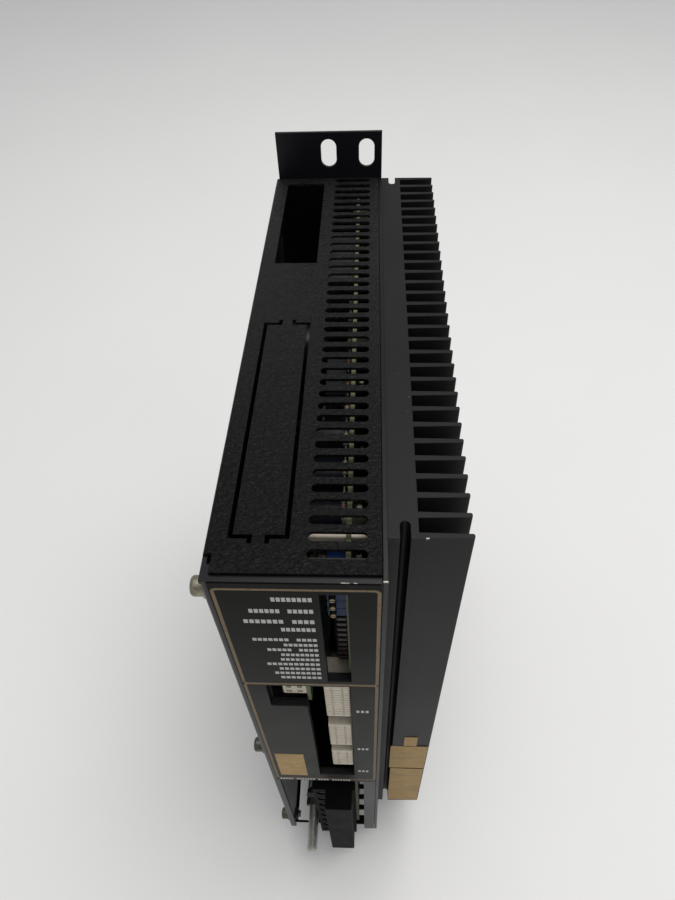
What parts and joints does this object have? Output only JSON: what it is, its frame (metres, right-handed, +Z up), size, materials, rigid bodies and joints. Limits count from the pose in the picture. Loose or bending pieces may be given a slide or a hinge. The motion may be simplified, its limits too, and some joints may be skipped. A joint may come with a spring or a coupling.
{
  "type": "servo drive",
  "caption": "Tall narrow panel-mount servo drive: slotted black cover, finned side heatsink, front panel with trimmers, lamps, plug headers and power terminals.",
  "frame": {"origin": "on the rear mounting face, midway across the chassis width (without the heatsink) and midway up it", "axes": "+X across the width towards the heatsink, -Y out of the front panel, +Z up"},
  "size_m": [0.0885, 0.2615, 0.3664],
  "materials": {
    "satin_black_sheet": "satin",
    "wrinkle_black_sheet": "satin",
    "plated_steel": "satin",
    "printed_overlay": "satin",
    "zinc_fastener": "satin",
    "black_anodised": "satin",
    "circuit_board": "satin",
    "black_moulding": "satin",
    "lamp_lens": "gloss",
    "white_nylon": "satin",
    "tinned_pin": "satin",
    "brass_part": "satin",
    "capacitor_sleeve": "gloss",
    "grey_moulding": "satin",
    "lamination": "matte",
    "winding_tape": "satin",
    "ceramic_body": "matte",
    "fuse_body": "satin",
    "thermal_pad": "matte",
    "kraft_paper": "matte",
    "trimmer_blue": "satin"
  },
  "bodies": {
    "root": {"chassis": "satin_black_sheet", "front_panel": "satin_black_sheet", "joining_strip": "plated_steel", "cover": "wrinkle_black_sheet", "panel_overlay": "printed_overlay", "panel_backing": "satin_black_sheet", "flat_washers": "zinc_fastener", "lock_washers": "zinc_fastener", "side_screws": "zinc_fastener", "clinch_nuts": "zinc_fastener", "heatsink": "black_anodised", "heatsink_screws": "zinc_fastener", "main_board": "circuit_board", "control_board": "circuit_board", "main_standoffs": "zinc_fastener", "board_screws": "zinc_fastener", "control_standoffs": "zinc_fastener", "standoff_nuts": "zinc_fastener", "led_housing": "black_moulding", "status_leds": "lamp_lens", "connector_c1": "white_nylon", "connector_c2": "white_nylon", "connector_c3": "white_nylon", "connector_pins": "tinned_pin", "aux_connector": "white_nylon", "terminal_block": "black_moulding", "terminal_screws": "zinc_fastener", "terminal_clamps": "brass_part", "ground_stud": "plated_steel", "ground_nuts": "zinc_fastener", "ground_bracket": "plated_steel", "bus_capacitor_1": "capacitor_sleeve", "bus_capacitor_2": "capacitor_sleeve", "bus_capacitor_3": "capacitor_sleeve", "relay": "grey_moulding", "transformer_core": "lamination", "transformer_winding": "winding_tape", "brake_resistor": "ceramic_body", "fuses": "fuse_body", "fuse_clips": "tinned_pin", "filter_capacitors": "capacitor_sleeve", "control_chips": "black_moulding", "current_sensor": "grey_moulding", "thermal_switch": "plated_steel", "power_module_a": "black_moulding", "power_module_b": "black_moulding", "bridge_rectifier": "black_moulding", "thermal_pads": "thermal_pad", "module_screws": "zinc_fastener", "heatsink_labels": "kraft_paper", "panel_label": "kraft_paper", "edge_guides": "white_nylon", "stability_trimmer": "trimmer_blue", "current_limit_trimmer": "trimmer_blue", "command_scale_trimmer": "trimmer_blue", "balance_trimmer": "trimmer_blue"},
    "stability_screw": {"stability_adjuster": "brass_part"},
    "current_limit_screw": {"current_limit_adjuster": "brass_part"},
    "command_scale_screw": {"command_scale_adjuster": "brass_part"},
    "balance_screw": {"balance_adjuster": "brass_part"}
  },
  "joints": [
    {"name": "stability_turn", "type": "hinge", "parent": "root", "child": "stability_screw", "pos_m": [0.01075, -0.2413, 0.14525], "axis": [0, 1, 0], "continuous": true},
    {"name": "current_limit_turn", "type": "hinge", "parent": "root", "child": "current_limit_screw", "pos_m": [0.01075, -0.2413, 0.14017], "axis": [0, 1, 0], "continuous": true},
    {"name": "command_scale_turn", "type": "hinge", "parent": "root", "child": "command_scale_screw", "pos_m": [0.01075, -0.2413, 0.13509], "axis": [0, 1, 0], "continuous": true},
    {"name": "balance_turn", "type": "hinge", "parent": "root", "child": "balance_screw", "pos_m": [0.01075, -0.2413, 0.13001], "axis": [0, 1, 0], "continuous": true}
  ]
}
